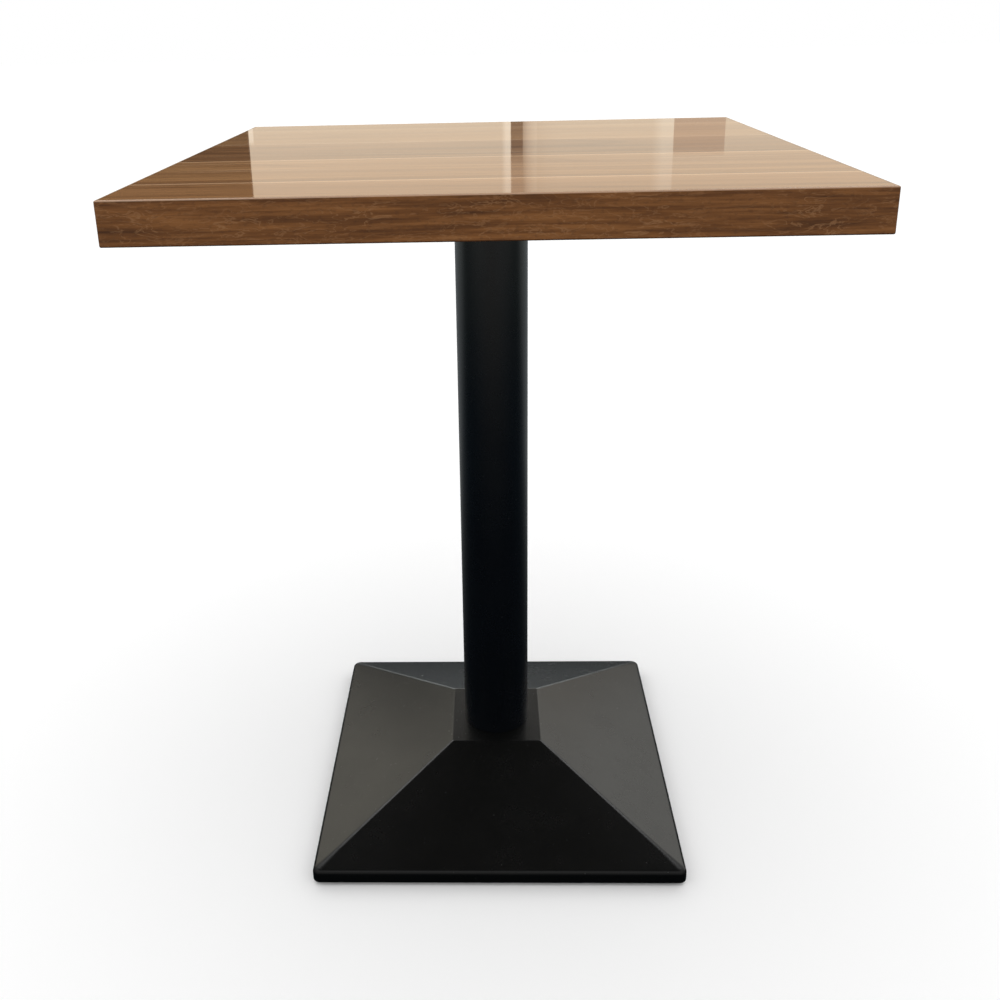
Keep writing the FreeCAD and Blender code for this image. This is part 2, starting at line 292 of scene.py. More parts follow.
class Nodes:
    """Short calls that add shader nodes to the tree of a material or a world."""

    def __init__(self, owner):
        owner.use_nodes = True
        self.tree = owner.node_tree

    def node(self, kind, inputs=None, **settings):
        made = self.tree.nodes.new("ShaderNode" + kind)
        for key, value in settings.items():
            setattr(made, key, value)
        self.set_inputs(made, inputs or {})
        return made

    def set_inputs(self, node, inputs):
        """Links or sets inputs by name or number; a colour is three numbers."""
        for key, value in inputs.items():
            socket = node.inputs[key]
            if isinstance(value, bpy.types.NodeSocket):
                self.tree.links.new(value, socket)
            else:
                socket.default_value = (*value, 1.0) if socket.type == "RGBA" else value

    def math(self, operation, a, b=0.0, clamp=False):
        return self.node("Math", {0: a, 1: b}, operation=operation, use_clamp=clamp).outputs[0]

    def plus(self, a, b, clamp=False):
        return self.math("ADD", a, b, clamp)

    def minus(self, a, b):
        return self.math("SUBTRACT", a, b)

    def times(self, a, b):
        return self.math("MULTIPLY", a, b)

    def vectors(self, operation, a, b):
        return self.node("VectorMath", {0: a, 1: b}, operation=operation).outputs[0]

    def parts(self, place):
        """The X, Y and Z parts of one of the texture coordinates."""
        return self.node("SeparateXYZ", {0: self.node("TexCoord").outputs[place]}).outputs

    def coordinates(self, stretch=(1, 1, 1), shift=None):
        """Object coordinates in metres, stretched, with an optional shift added first."""
        vector = self.node("TexCoord").outputs["Object"]
        if shift is not None:
            vector = self.vectors("ADD", vector, shift)
        return self.vectors("MULTIPLY", vector, stretch)

    def noise(self, vector, scale, detail=2.0, roughness=0.5, distortion=0.0):
        inputs = {"Vector": vector, "Scale": scale, "Detail": detail}
        inputs.update({"Roughness": roughness, "Distortion": distortion})
        return self.node("TexNoise", inputs).outputs["Fac"]

    def ramp(self, factor, stops, interpolation="LINEAR"):
        """Maps a factor to colours or grey levels given as (position, value) stops."""
        made = self.node("ValToRGB", {"Fac": factor})
        ramp = made.color_ramp
        ramp.interpolation = interpolation
        while len(ramp.elements) > 1:
            ramp.elements.remove(ramp.elements[-1])
        for k, (position, value) in enumerate(stops):
            element = ramp.elements[0] if k == 0 else ramp.elements.new(position)
            element.position = position
            level = value if isinstance(value, tuple) else (value,) * 3
            element.color = (*level, 1.0)
        return made.outputs["Color"]

    def graded(self, value, stops, full=1.0):
        """Colours along a distance in metres, as shares of the brightest one that they may reach."""
        low, high = stops[0][0], stops[-1][0]
        share = self.node("MapRange", {"Value": value, "From Min": low, "From Max": high}).outputs["Result"]
        levels = [((at - low) / (high - low), tuple(c / full for c in level)) for at, level in stops]
        return self.ramp(share, levels)

    def mix(self, factor, a, b, blend="MIX"):
        inputs = {MIX_FACTOR: factor, MIX_COLOURS[0]: a, MIX_COLOURS[1]: b}
        return self.node("Mix", inputs, data_type="RGBA", blend_type=blend).outputs[MIX_COLOUR_RESULT]

    def bump(self, height, strength, distance, normal=None):
        inputs = {"Height": height, "Strength": strength, "Distance": distance}
        if normal is not None:
            inputs["Normal"] = normal
        return self.node("Bump", inputs).outputs["Normal"]


class Shader(Nodes):
    """A material with one principled surface."""

    def __init__(self, name):
        self.material = bpy.data.materials.new(name)
        super().__init__(self.material)

    def finish(self, **inputs):
        """Sets the principled inputs, with spaces in their names written as underscores."""
        inputs = {key.replace("_", " "): value for key, value in inputs.items()}
        self.set_inputs(self.tree.nodes["Principled BSDF"], inputs)
        return self.material

    def stand_in(self, surface, piece):
        """Puts another surface in the principled one's place and the material on a piece of the stage."""
        self.set_inputs(self.tree.nodes["Material Output"], {"Surface": surface})
        piece.data.materials.append(self.material)


# ---- materials ----


PLANK_PITCH = 0.149
FIRST_SEAM = -0.2155
# from the front strip to the back strip: the main and the dark-grain colour of each plank
PLANK_COLOURS = (
    ((0.460, 0.228, 0.092), (0.240, 0.106, 0.038)),
    ((0.500, 0.258, 0.104), (0.260, 0.115, 0.042)),
    ((0.400, 0.195, 0.078), (0.140, 0.058, 0.021)),
    ((0.520, 0.282, 0.122), (0.290, 0.138, 0.055)),
    ((0.480, 0.255, 0.106), (0.260, 0.118, 0.045)),
)


def walnut_planks():
    """Printed laminate: planks along X, each with its own tone, growth lines, streaks and fine pores."""
    s = Shader("walnut_laminate")
    place = s.math("DIVIDE", s.minus(s.parts("Object")[1], FIRST_SEAM), PLANK_PITCH)
    plank = s.math("FLOOR", place)
    across = s.math("FRACT", place)
    pick = s.math("DIVIDE", s.plus(plank, 1.5), len(PLANK_COLOURS))
    share = 1.0 / len(PLANK_COLOURS)
    main, dark = [
        s.ramp(pick, [(k * share, colour) for k, colour in enumerate(colours)], "CONSTANT")
        for colours in zip(*PLANK_COLOURS)
    ]

    offset = s.node("CombineXYZ", {0: s.times(plank, 3.7), 2: plank}).outputs[0]
    drift = s.noise(s.coordinates((2.2, 7.0, 1.0), offset), 1.0, 1.0)
    bend = s.node("CombineXYZ", {1: s.times(s.minus(drift, 0.5), 0.03)})
    bent = s.vectors("ADD", bend.outputs[0], offset)
    broad = s.noise(s.coordinates((0.9, 30.0, 1.0), bent), 1.0, 3.0, 0.55)
    streaks = s.noise(s.coordinates((1.8, 95.0, 1.0), bent), 1.0, 3.0, 0.6)
    fine = s.noise(s.coordinates((5.0, 420.0, 1.0), bent), 1.0, 3.0, 0.6)
    pores = s.noise(s.coordinates((38.0, 1500.0, 1.0), bent), 1.0, 2.0, 0.5)

    rings = s.times(s.noise(s.coordinates((0.8, 9.0, 1.0), bent), 1.0, 1.0), 9.0)
    rings = s.math("FRACT", s.plus(rings, s.times(across, 5.0)))
    growth = s.ramp(rings, [(0.0, 0.25), (0.35, 0.0), (0.80, 0.35), (0.95, 1.0), (1.0, 0.25)])
    low_edge = [(0.0, 0.85), (0.06, 0.70), (0.25, 0.30), (0.45, 0.45), (0.85, 0.35), (0.95, 0.0)]
    streak = s.plus(s.times(broad, 1.3), s.times(streaks, 1.9))
    streak = s.plus(streak, s.times(fine, 0.9))
    streak = s.plus(s.minus(streak, 1.93), s.times(growth, 0.40))
    streak = s.plus(streak, s.times(s.ramp(across, low_edge), 0.45), True)
    wood = s.mix(streak, main, dark)
    flecks = s.ramp(pores, [(0.0, 1.0), (0.34, 1.0), (0.42, 0.0)])
    wood = s.mix(s.times(flecks, 0.35), wood, (0.09, 0.038, 0.015))
    pale = s.noise(s.coordinates((2.6, 150.0, 1.0), bent), 1.0, 2.0)
    pale = s.ramp(pale, [(0.0, 0.0), (0.66, 0.0), (0.70, 1.0)])
    seam = s.ramp(across, [(0.0, 0.0), (0.955, 0.0), (0.975, 1.0), (0.992, 1.0), (1.0, 0.0)])
    light = s.math("MAXIMUM", s.times(seam, 0.85), s.times(pale, 0.40))
    wood = s.mix(light, wood, (0.68, 0.44, 0.26))

    emboss = s.plus(s.times(fine, 0.6), s.times(flecks, -0.4))
    rough = s.plus(s.times(fine, 0.03), 0.018)
    wave = s.noise(s.coordinates((1.0, 1.0, 1.0)), 14.0, 1.0)
    normal = s.bump(wave, 0.05, 0.0006)
    normal = s.bump(emboss, 0.03, 0.0001, normal)
    return s.finish(Base_Color=wood, Roughness=rough, IOR=1.5, Normal=normal)


def walnut_band(name, along):
    """Edge band: darker walnut with streaks and a fine mottle, a painted highlight along its top rounding and
    painted shade along its lower one. along is 0 for X and 1 for Y.
    """
    s = Shader(name)

    def stretched(length, height):
        stretch = [height, height, height]
        stretch[along] = length
        return s.coordinates(tuple(stretch))

    broad = s.noise(stretched(3.5, 70.0), 1.0, 3.0, 0.6, 0.3)
    streaks = s.noise(stretched(9.0, 210.0), 1.0, 3.0, 0.65, 0.4)
    fine = s.noise(stretched(40.0, 700.0), 1.0, 3.0, 0.6)
    tone = s.plus(s.times(broad, 2.1), s.times(streaks, 2.0))
    tone = s.plus(s.minus(tone, 1.95), s.times(fine, 0.70), True)
    browns = [(0.0, (0.280, 0.112, 0.030)), (0.45, (0.178, 0.065, 0.015)), (1.0, (0.070, 0.023, 0.005))]
    wood = s.ramp(tone, browns)
    worms = s.noise(stretched(48.0, 165.0), 1.0, 3.0, 0.55, 0.9)
    worms = s.math("ABSOLUTE", s.minus(worms, 0.5))
    patches = s.ramp(s.noise(stretched(14.0, 60.0), 1.0, 2.0), [(0.38, 0.15), (0.62, 1.0)])
    worms = s.times(s.ramp(worms, [(0.0, 1.0), (0.034, 0.0)]), patches)
    wood = s.mix(s.times(worms, 0.62), wood, (0.38, 0.190, 0.080))
    pits = s.ramp(s.noise(stretched(190.0, 420.0), 1.0, 2.0), [(0.0, 1.0), (0.36, 1.0), (0.44, 0.0)])
    wood = s.mix(s.times(pits, 0.22), wood, (0.055, 0.020, 0.008))
    rise = s.parts("Normal")[2]
    # painted highlight: a lighter colour on the upward-facing rounded top edge, standing in for a bright
    # reflected line
    arris_painted_highlight = s.ramp(rise, [(0.0, 0.0), (0.20, 0.0), (0.50, 1.0), (0.95, 1.0), (1.0, 0.4)])
    wood = s.mix(s.times(arris_painted_highlight, 0.65), wood, (0.60, 0.40, 0.27))
    # painted shade: a near-black colour on the downward-facing lower rounding
    under = s.ramp(s.times(rise, -1.0), [(0.0, 0.0), (0.15, 0.0), (0.45, 1.0)])
    wood = s.mix(s.times(under, 0.70), wood, (0.030, 0.012, 0.008))
    rough = s.plus(s.times(worms, 0.10), 0.30)
    relief = s.minus(s.plus(fine, worms), pits)
    normal = s.bump(relief, 0.15, 0.0001)
    return s.finish(Base_Color=wood, Roughness=rough, Specular_IOR_Level=0.32, Normal=normal)


def powder_coat(name, colour, roughness, peel, sag):
    """Satin black powder coat: orange peel, slight waves under it, handling marks and a few dust specks."""
    s = Shader(name)
    place = s.coordinates()
    cloud = s.noise(place, 9.0, 3.0)
    grain = s.noise(place, 1150.0, 2.0)
    waves = s.noise(place, 55.0, 2.0)
    specks = s.ramp(s.noise(place, 420.0, 1.0), [(0.0, 0.0), (0.775, 0.0), (0.81, 1.0)])
    rubs = s.ramp(s.noise(place, 26.0, 4.0, 0.6), [(0.40, 0.0), (0.70, 1.0)])
    tone = s.mix(cloud, tuple(c * 0.85 for c in colour), tuple(c * 1.20 for c in colour))
    tone = s.mix(s.times(specks, 0.32), tone, (0.060, 0.062, 0.062))
    rough = s.plus(s.times(cloud, 0.06), roughness - 0.04)
    rough = s.plus(rough, s.times(rubs, 0.03))
    rough = s.plus(rough, s.times(specks, 0.10))
    normal = s.bump(waves, sag, 0.0010)
    normal = s.bump(grain, peel, 0.00012, normal)
    return s.finish(Base_Color=tone, Roughness=rough, IOR=1.5, Normal=normal)


def zinc_plate():
    """Zinc-plated steel with a faint blue and straw passivation and fine handling marks."""
    s = Shader("zinc_steel")
    place = s.coordinates()
    tint = s.noise(place, 70.0, 3.0)
    marks = s.noise(s.coordinates((90.0, 90.0, 900.0)), 1.0, 3.0, 0.6)
    tints = [(0.30, (0.58, 0.61, 0.66)), (0.55, (0.66, 0.67, 0.66)), (0.75, (0.70, 0.66, 0.55))]
    rough = s.plus(s.times(marks, 0.25), 0.20)
    normal = s.bump(marks, 0.12, 0.0001)
    return s.finish(Base_Color=s.ramp(tint, tints), Metallic=1.0, Roughness=rough, Normal=normal)


def moulded_nylon():
    """Black moulded nylon with a fine spark-eroded texture and scuffed high spots."""
    s = Shader("black_nylon")
    place = s.coordinates()
    grain = s.noise(place, 2600.0, 2.0)
    scuffs = s.noise(s.coordinates((220.0, 140.0, 900.0)), 1.0, 4.0, 0.7)
    scuffs = s.ramp(scuffs, [(0.50, 0.0), (0.75, 1.0)])
    colour = s.mix(s.times(scuffs, 0.5), (0.022, 0.022, 0.024), (0.075, 0.075, 0.078))
    rough = s.plus(s.times(scuffs, 0.15), 0.48)
    return s.finish(Base_Color=colour, Roughness=rough, Normal=s.bump(grain, 0.25, 0.0001))


def particle_board():
    """Raw particle board: pressed chips of many tones."""
    s = Shader("particle_board")
    place = s.coordinates()
    chips = s.node("TexVoronoi", {"Vector": place, "Scale": 330.0, "Randomness": 1.0})
    dust = s.noise(place, 900.0, 3.0)
    tone = s.node("SeparateColor", {0: chips.outputs["Color"]}).outputs[0]
    colours = [(0.0, (0.42, 0.29, 0.17)), (0.5, (0.60, 0.46, 0.30)), (1.0, (0.74, 0.61, 0.43))]
    colour = s.mix(s.times(dust, 0.4), s.ramp(tone, colours), (0.50, 0.37, 0.23))
    normal = s.bump(s.plus(chips.outputs["Distance"], dust), 0.35, 0.0004)
    return s.finish(Base_Color=colour, Roughness=0.85, Normal=normal)


def backing_sheet():
    """Dark backing laminate under the top: a matt printed paper with a faint fibre."""
    s = Shader("backing_laminate")
    fibre = s.noise(s.coordinates((60.0, 700.0, 1.0)), 1.0, 4.0, 0.65)
    cloud = s.noise(s.coordinates(), 18.0, 3.0)
    tone = s.mix(fibre, (0.060, 0.043, 0.034), (0.115, 0.085, 0.068))
    tone = s.mix(s.times(cloud, 0.35), tone, (0.050, 0.038, 0.031))
    rough = s.plus(s.times(cloud, 0.10), 0.50)
    return s.finish(Base_Color=tone, Roughness=rough, Normal=s.bump(fibre, 0.12, 0.0001))


MATERIALS = {
    "walnut_laminate": walnut_planks(),
    "edge_band_x": walnut_band("edge_band_x", 0),
    "edge_band_y": walnut_band("edge_band_y", 1),
    "particle_board": particle_board(),
    "backing_laminate": backing_sheet(),
    "black_iron": powder_coat("black_iron", (0.0020, 0.0023, 0.0022), 0.26, 0.22, 0.06),
    "black_steel": powder_coat("black_steel", (0.0012, 0.0023, 0.0040), 0.27, 0.07, 0.04),
    "zinc_steel": zinc_plate(),
    "black_nylon": moulded_nylon(),
}


# ---- the top ----


def band_section(inset, along):
    """A section of an edge band at a place along it, inset on its three outer sides towards an end."""
    radius = BAND_ROUND * MM - inset
    outer, inner = -TOP_HALF + inset, -BOARD_HALF
    low, high = UNDER_Z + inset, TOP_Z - inset
    section = [Vector((along, inner, low))]
    for centre_z, first in ((low + radius, 270), (high - radius, 180)):
        for i in range(BAND_STEPS + 1):
            angle = math.radians(first - 90 * i / BAND_STEPS)
            y = outer + radius + radius * math.cos(angle)
            section.append(Vector((along, y, centre_z + radius * math.sin(angle))))
    section.append(Vector((along, inner, high)))
    return section


def long_band(name, turn, node):
    """A band that covers the whole side, with round ends."""
    radius = BAND_ROUND * MM
    ends = []
    for i in range(BAND_STEPS + 1):
        angle = math.radians(90 * i / BAND_STEPS)
        inset = min(radius * (1 - math.sin(angle)), radius * 0.999)
        ends.append((inset, radius * (1 - math.cos(angle))))
    rings = [band_section(inset, -TOP_HALF + away) for inset, away in ends]
    for k in range(1, BAND_LENGTHS):
        rings.append(band_section(0.0, -TOP_HALF + radius + (TOP_HALF - radius) * 2 * k / BAND_LENGTHS))
    rings += [band_section(inset, TOP_HALF - away) for inset, away in reversed(ends)]
    band_object(name, rings, turn, node, "edge_band_x")


def short_band(name, turn, node):
    """A band between the two long ones, with flat ends."""
    places = [-BOARD_HALF + 2 * BOARD_HALF * k / BAND_LENGTHS for k in range(BAND_LENGTHS + 1)]
    band_object(name, [band_section(0.0, x) for x in places], turn, node, "edge_band_y")


def band_object(name, rings, turn, node, material):
    points, faces = skin(rings, first_cap=True, last_cap=True)
    turning = Matrix.Rotation(math.radians(turn), 4, "Z")
    band = new_object(name, [turning @ p for p in points], faces)
    finish_piece(band, "table", material, node, 40)


def sheet(name, low, high, node, material):
    """A thin square sheet the size of the boards, with its exposed edges just broken."""
    half, broken = BOARD_HALF, SHEET_EDGE * MM
    places = ((half - broken, low), (half, low + broken), (half, high - broken), (half - broken, high))
    shell = skin([rectangle(size, size, z) for size, z in places], first_cap=True, last_cap=True)
    finish_piece(new_object(name, *shell), "table", material, node, 20)


def build_top():
    long_band("band_front", 0, "edge_band_front")
    long_band("band_back", 180, "edge_band_back")
    short_band("band_right", 90, "edge_band_right")
    short_band("band_left", 270, "edge_band_left")
    sheet("laminate_top", LAMINATE_LOW_Z, TOP_Z, "top_laminate", "walnut_laminate")
    sheet("laminate_under", UNDER_Z, BACKER_HIGH_Z, "under_laminate", "backing_laminate")
    for node in ("upper_board", "lower_board"):
        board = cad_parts[node]
        board.data.materials.clear()
        board.data.materials.append(MATERIALS["particle_board"])


# ---- the base ----


PLATEAU = COLUMN_LOW.z / MM
BASE_HALF = BASE_HIGH.x / MM
BASE_BOTTOM = BASE_LOW.z / MM
SPIGOT_TOP = BASE_HIGH.z / MM
SPIGOT_RADIUS = COLUMN_HIGH.x / MM - COLUMN_WALL - SPIGOT_GAP
PLATEAU_START = COLUMN_HIGH.x / MM + 3
HUB_START = HUB_RADIUS + 8
BASE_SLOPE = (PLATEAU - RIM_TOP) / (BASE_HALF - PLATEAU_HALF)
WALL_DROP = BASE_WALL * math.hypot(1, BASE_SLOPE)
CAVITY_HALF = BASE_HALF - BASE_WALL
CAVITY_SHOULDER = RIM_TOP + BASE_SLOPE * BASE_WALL - WALL_DROP
CAVITY_ROOF = PLATEAU - BASE_WALL
CAVITY_ROOF_HALF = BASE_HALF - (CAVITY_ROOF + WALL_DROP - RIM_TOP) / BASE_SLOPE


def hip_corner(half):
    """The plan radius of the pyramid's corners where its side is this far from the axis."""
    if half > HIP_RUNOUT_HALF:
        share = (half - HIP_RUNOUT_HALF) / (BASE_HALF - HIP_RUNOUT_HALF)
        return HIP_CORNER_LOW + share * (RIM_CORNER - HIP_CORNER_LOW)
    share = (half - PLATEAU_HALF) / (HIP_RUNOUT_HALF - PLATEAU_HALF)
    return HIP_CORNER_HIGH + share * (HIP_CORNER_LOW - HIP_CORNER_HIGH)


def split_long(outline, longest):
    """Adds points to an outline so that no step is longer than the length given."""
    finer = [outline[0]]
    for (x0, z0), (x1, z1) in zip(outline, outline[1:]):
        count = max(1, math.ceil(math.hypot(x1 - x0, z1 - z0) / longest))
        finer += [(x0 + (x1 - x0) * k / count, z0 + (z1 - z0) * k / count) for k in range(1, count + 1)]
    return finer


def base_shell():
    """The hollow pyramid as one closed skin: outside, foot, cavity, hub and rod hole."""
    bore = SPIGOT_RADIUS - SPIGOT_WALL
    round_part = [(ROD_HOLE, PLATEAU, 0), (bore, PLATEAU, 0.8), (bore, SPIGOT_TOP, 0.5)]
    round_part += [(SPIGOT_RADIUS, SPIGOT_TOP, 0.5), (SPIGOT_RADIUS, PLATEAU, 0)]
    outside = [
        (PLATEAU_START, PLATEAU, 0),
        (PLATEAU_HALF, PLATEAU, PLATEAU_EDGE),
        (BASE_HALF, RIM_TOP, RIM_EDGE),
        (BASE_HALF, BASE_BOTTOM, FOOT_EDGE),
        (CAVITY_HALF, BASE_BOTTOM, 0.6),
        (CAVITY_HALF, CAVITY_SHOULDER, 4),
        (CAVITY_ROOF_HALF, CAVITY_ROOF, 6),
        (HUB_START, CAVITY_ROOF, 0),
    ]
    hub = [(HUB_START, CAVITY_ROOF, 0), (HUB_RADIUS, CAVITY_ROOF, 3), (HUB_RADIUS, HUB_LOW, 1)]
    hub += [(ROD_HOLE, HUB_LOW, 0)]
    rings = [square_ring(r, r, z) for r, z in rounded_outline(round_part, 4)]
    cavity_started = False
    for half, z in split_long(rounded_outline(outside, 8), 6.0):
        cavity_started = cavity_started or (half < CAVITY_HALF + 0.01 and z < BASE_BOTTOM + 1.5)
        if half <= PLATEAU_START + 0.01 and not cavity_started:
            corner = half
        elif not cavity_started and z > BASE_BOTTOM + FOOT_EDGE:
            corner = hip_corner(half)
        elif not cavity_started:
            corner = RIM_CORNER - (BASE_HALF - half)
        elif half > CAVITY_ROOF_HALF:
            share = (half - CAVITY_ROOF_HALF) / (CAVITY_HALF - CAVITY_ROOF_HALF)
            corner = HIP_CORNER_HIGH + share * (RIM_CORNER - BASE_WALL - HIP_CORNER_HIGH)
        else:
            share = (CAVITY_ROOF_HALF - half) / (CAVITY_ROOF_HALF - HUB_START)
            corner = HIP_CORNER_HIGH + share * (half - HIP_CORNER_HIGH)
        rings.append(square_ring(half, corner, z))
    rings += [square_ring(r, r, z) for r, z in rounded_outline(hub, 5)[1:]]
    return new_object("base", *skin(rings, closed=True))


def inside_wall(half):
    """A height halfway into the sloping wall, this far from the axis along a side."""
    return PLATEAU - (half - PLATEAU_HALF) * BASE_SLOPE - BASE_WALL / 2


def base_ribs():
    """Four ribs from the hub to the glide bosses."""
    reach = GLIDE_AT * math.sqrt(2)
    corner = PLATEAU_HALF * math.sqrt(2)
    outline = [
        (HUB_RADIUS / 2, HUB_LOW + 2),
        (reach / 4, HUB_LOW - 4),
        (reach - 7, GLIDE_BOSS_LOW + 3),
        (reach - 7, inside_wall(GLIDE_AT)),
        (corner, inside_wall(PLATEAU_HALF) - 1),
        (HUB_RADIUS / 2, PLATEAU - BASE_WALL / 2),
    ]
    sides = [[Vector((x, side, z)) * MM for x, z in outline] for side in (-RIB_HALF_THICK, RIB_HALF_THICK)]
    rib = skin([sides[1], sides[0]], first_cap=True, last_cap=True)
    return [turned(rib, 45 + 90 * k) for k in range(4)]


def glide_boss(x, y):
    """A round boss whose slanted top ends inside the casting's wall."""
    rim = [(4, GLIDE_BOSS_LOW, 0), (GLIDE_BOSS, GLIDE_BOSS_LOW, 1.2), (GLIDE_BOSS, 20, 0)]
    rings = [circle(r, z, 48) for r, z in rounded_outline(rim, 4)]
    top = circle(GLIDE_BOSS, inside_wall(GLIDE_AT) - BOSS_SINK, 48)
    for point in top:
        outward = math.copysign(point.x, x * point.x) + math.copysign(point.y, y * point.y)
        point.z -= BOSS_LEAN * outward
    rings.append(top)
    return moved(skin(rings, first_cap=True, last_cap=True), x, y)


def build_base():
    base = base_shell()
    corners = [(x, y) for x in (-GLIDE_AT, GLIDE_AT) for y in (-GLIDE_AT, GLIDE_AT)]
    for shell in base_ribs() + [glide_boss(*at) for at in corners]:
        combine(base, shell, "UNION")
    for at in corners:
        hole = lathe([(STUD_HOLE, 0), (STUD_HOLE, STUD_HOLE_TOP)], count=48)
        combine(base, moved(hole, *at), "DIFFERENCE")
    roughen(base)
    finish_piece(base, "table", "black_iron", "base_casting", 40)


def roughen(base):
    """Gives the casting's slopes the slight waves of a sand mould."""
    depth, fade, waves = 0.10 * MM, 0.004, 28.0
    low, high = (RIM_TOP + 2) * MM, (PLATEAU - 2) * MM
    for vertex in base.data.vertices:
        if low < vertex.co.z < high and vertex.normal.z > 0.5:
            share = min(1.0, (vertex.co.z - low) / fade, (high - vertex.co.z) / fade)
            vertex.co += vertex.normal * depth * share * noise.noise(vertex.co * waves)


# ---- the column ----


def build_column():
    outer = COLUMN_HIGH.x / MM
    bore = outer - COLUMN_WALL
    low, high = COLUMN_LOW.z / MM, COLUMN_HIGH.z / MM
    outline = rounded_outline([(bore, high, 0), (outer, high, 0.4), (outer, low, 0.4), (bore, low, 0)], 4)
    shell = skin([circle(r, z, 160) for r, z in split_long(outline, 60.0)], closed=True)
    finish_piece(new_object("column", *shell), "table", "black_steel", "column_tube", 50)


# ---- the spider under the top ----


SPIDER_BOTTOM = COLUMN_HIGH.z / MM
SPIDER_TOP = SPIDER_HIGH.z / MM
SPIDER_FOOT = SPIDER_LOW.z / MM
SCREW_SPOTS = [
    (r * math.cos(math.radians(a)), r * math.sin(math.radians(a)))
    for a in (45, 135, 225, 315)
    for r in SCREW_RADII
]


def arm_ring(half_width, z, count=24):
    """A ring round an arm, from a flat end inside the hub to a round tip."""
    ring = [Vector((ARM_ROOT, half_width, z)) * MM, Vector((ARM_ROOT, -half_width, z)) * MM]
    for i in range(count + 1):
        angle = math.radians(-90 + 180 * i / count)
        x, y = ARM_REACH - ARM_HALF + half_width * math.cos(angle), half_width * math.sin(angle)
        ring.append(Vector((x, y, z)) * MM)
    return ring


def spider_arm():
    """A channel that opens downwards, with rounded lips and a filleted floor."""
    ceiling = SPIDER_TOP - ARM_FLOOR
    low, high = SPIDER_BOTTOM + ARM_SINK, SPIDER_TOP - ARM_SINK
    inner = ARM_HALF - ARM_WALL
    outline = [(inner - 4, ceiling, 0), (inner, ceiling, 2.0), (inner + 0.4, low, 1.2)]
    outline += [(ARM_HALF, low, 1.2), (ARM_HALF, high, 0.6), (ARM_HALF - 4, high, 0)]
    rings = [arm_ring(half, z) for half, z in rounded_outline(outline)]
    return skin(rings, first_cap=True, last_cap=True)


def build_spider():
    step = SPIDER_BOTTOM - SPIGOT_HEIGHT
    hub = [(HUB_RADIUS - 8, SPIDER_FOOT, 0), (HUB_RADIUS, SPIDER_FOOT, 1.0), (HUB_RADIUS, step, 2.0)]
    hub += [(SPIGOT_RADIUS, step, 0.8), (SPIGOT_RADIUS, SPIDER_BOTTOM, 0), (SPIDER_HUB, SPIDER_BOTTOM, 2.0)]
    hub += [(SPIDER_HUB, SPIDER_TOP, 0.6), (HUB_RADIUS, SPIDER_TOP, 0)]
    spider = new_object("spider", *lathe(rounded_outline(hub), count=120))
    for k in range(4):
        combine(spider, turned(spider_arm(), 45 + 90 * k), "UNION")
    floor = SPIDER_FOOT + SOCKET_FLOOR
    socket = [(ROD_HOLE, SPIDER_FOOT - 1, 0), (ROD_HOLE, floor, 0)]
    socket += [(SOCKET_RADIUS, floor, 1.0), (SOCKET_RADIUS, SPIDER_TOP + 1, 0)]
    screw_hole = lathe([(SCREW_HOLE, SPIDER_BOTTOM), (SCREW_HOLE, SPIDER_TOP + 1)], count=32)
    for hole in [lathe(rounded_outline(socket), count=64)] + [moved(screw_hole, *at) for at in SCREW_SPOTS]:
        combine(spider, hole, "DIFFERENCE")
    finish_piece(spider, "table", "black_iron", "top_spider", 40)


# ---- threads, nuts and washers ----


# the shares of half a thread's pitch that its crest and its flank take
CREST = 0.12
FLANK = 0.63
HEXAGON_CUT = math.tan(math.radians(30))


def thread_rings(major, thread, low, high, count, chamfer=0.0, steps=10):
    """Rings along a thread that runs out over a pitch at its low end, with its high end chamfered."""
    depth, pitch = thread
    rings = []
    total = round((high - low) / pitch * steps)
    for k in range(total + 1):
        z = low + (high - low) * k / total
        fade = min(1.0, (z - low) / pitch)
        tip = major - max(0.0, chamfer - (high - z))

        def radius(angle):
            from_crest = abs((z / pitch - angle / (2 * math.pi)) % 1.0 - 0.5) * 2
            groove = min(1.0, max(0.0, (from_crest - CREST) / FLANK))
            return min(major - depth * fade * groove, tip)

        rings.append(circle(radius, z, count))
    return rings


def hexagon_rings(across, low, high, count, steps=6):
    """Rings up a hexagon whose corners are cut back by a cone at both ends."""
    corner = across / math.sqrt(3)
    cut = (corner - across / 2) * HEXAGON_CUT
    places = [low + cut * k / steps for k in range(steps + 1)]
    places += [high - cut * k / steps for k in range(steps, -1, -1)]

    def ring(z):
        cone = across / 2 + min(z - low, high - z) / HEXAGON_CUT
        blunt = min(cone, corner - 0.12)
        return circle(lambda a: min(blunt, across / 2 / math.cos(a % (math.pi / 3) - math.pi / 6)), z, count)

    return [ring(z) for z in places]


def mirrored(rings, z):
    """The same rings upside down about a height, in an order that still climbs."""
    flipped = [[Vector((p.x, p.y, 2 * z * MM - p.z)) for p in ring] for ring in rings]
    return flipped[::-1]


def nut(low, high):
    """A hexagon nut with a chamfered bore."""
    count, chamfer, bore = 96, 0.6, ROD_RADIUS + 0.02
    mouths = [circle(ROD_RADIUS + chamfer, z, count) for z in (low, high)]
    inside = [circle(bore, high - chamfer, count), circle(bore, low + chamfer, count)]
    return skin([mouths[0]] + hexagon_rings(NUT_ACROSS, low, high, count) + [mouths[1]] + inside, closed=True)


def washer_section(bore, outer, low, high, steps):
    """The closed section of a flat ring with rounded edges."""
    middle, edge = (low + high) / 2, WASHER_EDGE
    corners = [(outer, middle, 0), (outer, high, edge), (bore, high, edge)]
    corners += [(bore, low, edge), (outer, low, edge), (outer, middle, 0)]
    return rounded_outline(corners, steps)[:-1]


